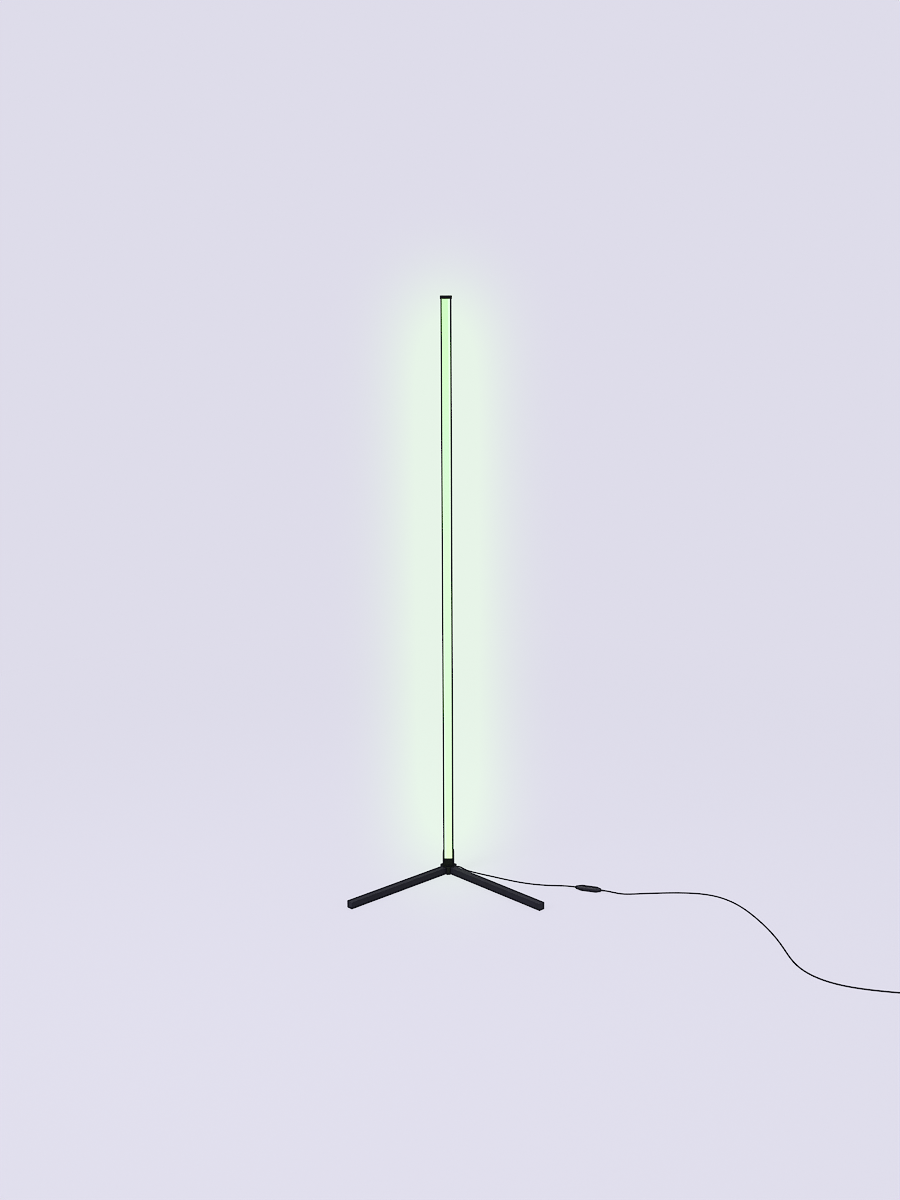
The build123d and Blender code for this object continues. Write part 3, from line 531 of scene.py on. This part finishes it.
def backdropFinish(name, look):
    # Mostly its own even tone, with some real shade near the lamp that fades out before the wall
    material = bpy.data.materials.new(name)
    material.use_nodes = True
    tree = material.node_tree
    tree.nodes.clear()
    colour = linear(look["colour"])
    matteColour = [value * look["matteGain"] for value in colour[:3]] + [1]
    tone = addNode(tree, "ShaderNodeEmission", {}, {"Color": colour}).outputs["Emission"]
    matte = addNode(tree, "ShaderNodeBsdfDiffuse", {}, {"Color": matteColour}).outputs["BSDF"]
    place = addNode(tree, "ShaderNodeTexCoord").outputs["Object"]
    away = addNode(tree, "ShaderNodeVectorMath", {"operation": "LENGTH"}, {0: place}).outputs["Value"]
    fade = addNode(tree, "ShaderNodeMapRange", {"interpolation_type": "SMOOTHSTEP"},
                   {"Value": away, "From Min": look["matteFrom"], "From Max": look["matteTo"],
                    "To Min": look["matteShare"], "To Max": 0}).outputs["Result"]
    mixed = addNode(tree, "ShaderNodeMixShader", {}, {"Fac": fade, 1: tone, 2: matte}).outputs["Shader"]
    addNode(tree, "ShaderNodeOutputMaterial", {}, {"Surface": mixed})
    return material


studioFloor = raiseBackdrop(backdrop)
studioFloor.data.materials.append(backdropFinish("paleFloor", backdrop))

skyLook = {"colour": (0.92, 0.93, 1.0), "strength": 0.3}
softLights = [
    {"name": "keyLeft", "place": (-2.6, -2.4, 2.6), "aim": (0, 0, 0.6), "size": 2.2, "power": 95},
    {"name": "fillRight", "place": (2.8, -1.6, 1.8), "aim": (0, 0, 0.5), "size": 2.0, "power": 22},
    {"name": "topSoft", "place": (0.2, 1.0, 3.6), "aim": (0, 0, 0.2), "size": 2.4, "power": 40},
    {"name": "lowFront", "place": (0.4, -3.2, 0.6), "aim": (0, 0, 0.1), "size": 1.2, "power": 16},
]


def lightStudio(sky, lights):
    # An even sky, and round soft lights that each face their aim
    world = bpy.data.worlds.new("sky")
    world.use_nodes = True
    world.node_tree.nodes["Background"].inputs["Color"].default_value = (*sky["colour"], 1)
    world.node_tree.nodes["Background"].inputs["Strength"].default_value = sky["strength"]
    scene.world = world
    for look in lights:
        lamp = bpy.data.objects.new(look["name"], bpy.data.lights.new(look["name"], "AREA"))
        lamp.data.shape = "DISK"
        lamp.data.size = look["size"]
        lamp.data.energy = look["power"]
        lamp.location = look["place"]
        backwards = Vector(look["place"]) - Vector(look["aim"])
        lamp.rotation_euler = backwards.to_track_quat("Z", "Y").to_euler()
        scene.collection.objects.link(lamp)


lightStudio(skyLook, softLights)
scene.view_settings.view_transform = "Standard"
print("studio ready")


# Halo: the glow that the lit strip throws into the picture round it
halo = {
    "colour": (231, 244, 232),   # what the backdrop becomes where the halo is full
    "widening": 0.005,           # of the strip's area before the blur, as a share of the longer side
    "reach": 0.0995,             # of the blur, as such a share
    "gain": 6.9,
    "crispness": 0.2,
    "blackest": (15, 15, 20),    # crisp edges go no darker than this
}


def toPixels(tree, picture, share):
    # A share of the picture's longer side, in pixels
    return addNode(tree, "CompositorNodeRelativeToPixel",
                   {"data_type": "FLOAT", "reference_dimension": "Greater"},
                   {"Image": picture, 1: share}).outputs[0]


def addHalo(look, ground, glowing):
    # The lit strip's own area is widened, blurred, strengthened and cut at 1, and tints the picture by
    # that much everywhere but on the strip. At the end edges are made crisper, down to the darkest tone.
    bpy.context.view_layer.use_pass_cryptomatte_object = True
    scene.use_nodes = True
    tree = scene.node_tree
    picture = tree.nodes["Render Layers"].outputs["Image"]
    ratio = np.array(linear(look["colour"])) / np.array(linear(ground["colour"]))
    strip = addNode(tree, "CompositorNodeCryptomatteV2", {"matte_id": glowing.name},
                    {"Image": picture}).outputs["Matte"]
    wide = addNode(tree, "CompositorNodeDilateErode", {},
                   {"Mask": strip, "Size": toPixels(tree, picture, look["widening"])}).outputs["Mask"]
    blurred = addNode(tree, "CompositorNodeBlur", {"filter_type": "FAST_GAUSS"},
                      {"Image": wide, "Size": toPixels(tree, picture, look["reach"])}).outputs["Image"]
    strong = addNode(tree, "CompositorNodeMath", {"operation": "MULTIPLY", "use_clamp": True},
                     {0: blurred, 1: look["gain"]}).outputs["Value"]
    around = addNode(tree, "CompositorNodeMath", {"operation": "SUBTRACT", "use_clamp": True},
                     {0: strong, 1: strip}).outputs["Value"]
    tinted = addNode(tree, "CompositorNodeMixRGB", {"blend_type": "MULTIPLY"},
                     {"Fac": around, 1: picture, 2: ratio.tolist()}).outputs["Image"]
    crisp = addNode(tree, "CompositorNodeFilter", {"filter_type": "SHARPEN_DIAMOND"},
                    {"Fac": look["crispness"], "Image": tinted}).outputs["Image"]
    floored = addNode(tree, "CompositorNodeMixRGB", {"blend_type": "LIGHTEN"},
                      {1: crisp, 2: linear(look["blackest"])}).outputs["Image"]
    tree.links.new(floored, tree.nodes["Composite"].inputs["Image"])


addHalo(halo, backdrop, nodes["diffuser"])
print("halo set")


# What rides on what
for piece, slot in ((lampCord, "cord_jacket"), (supplyCord, "cord_jacket"), (coilTie, "cord_jacket")):
    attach(piece, "lamp")
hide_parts("lamp_cord")
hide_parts("supply_cord", "cord_coil", "plug_tail")
